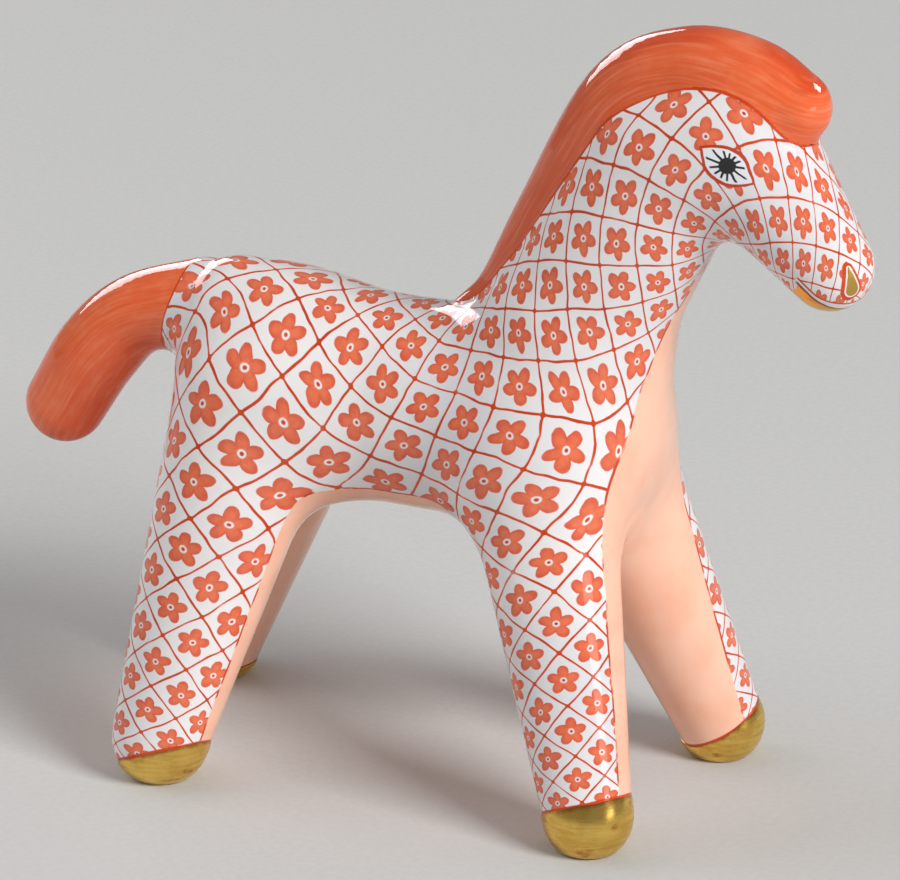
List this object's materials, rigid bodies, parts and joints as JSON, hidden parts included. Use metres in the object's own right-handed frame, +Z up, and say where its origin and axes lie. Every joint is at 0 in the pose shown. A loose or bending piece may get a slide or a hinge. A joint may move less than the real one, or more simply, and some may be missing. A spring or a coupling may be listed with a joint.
{
  "type": "porcelain horse figurine",
  "caption": "Small glazed porcelain horse that stands on splayed round legs, with a coral mane and tail, painted lines and gilded hooves.",
  "frame": {"origin": "on the surface that the horse stands on, under the middle of its length and width", "axes": "+X the way the horse faces, +Y to its left, +Z up"},
  "size_m": [0.0837, 0.035, 0.0735],
  "materials": {
    "white_glaze": "gloss",
    "coral_glaze": "gloss",
    "gilding": "polished"
  },
  "bodies": {
    "root": {"torso": "white_glaze", "neck_and_head": "white_glaze", "front_right_leg": "white_glaze", "front_left_leg": "white_glaze", "rear_right_leg": "white_glaze", "rear_left_leg": "white_glaze", "mane": "coral_glaze", "tail": "coral_glaze", "front_right_hoof_gilding": "gilding", "front_left_hoof_gilding": "gilding", "rear_right_hoof_gilding": "gilding", "rear_left_hoof_gilding": "gilding"}
  },
  "joints": []
}
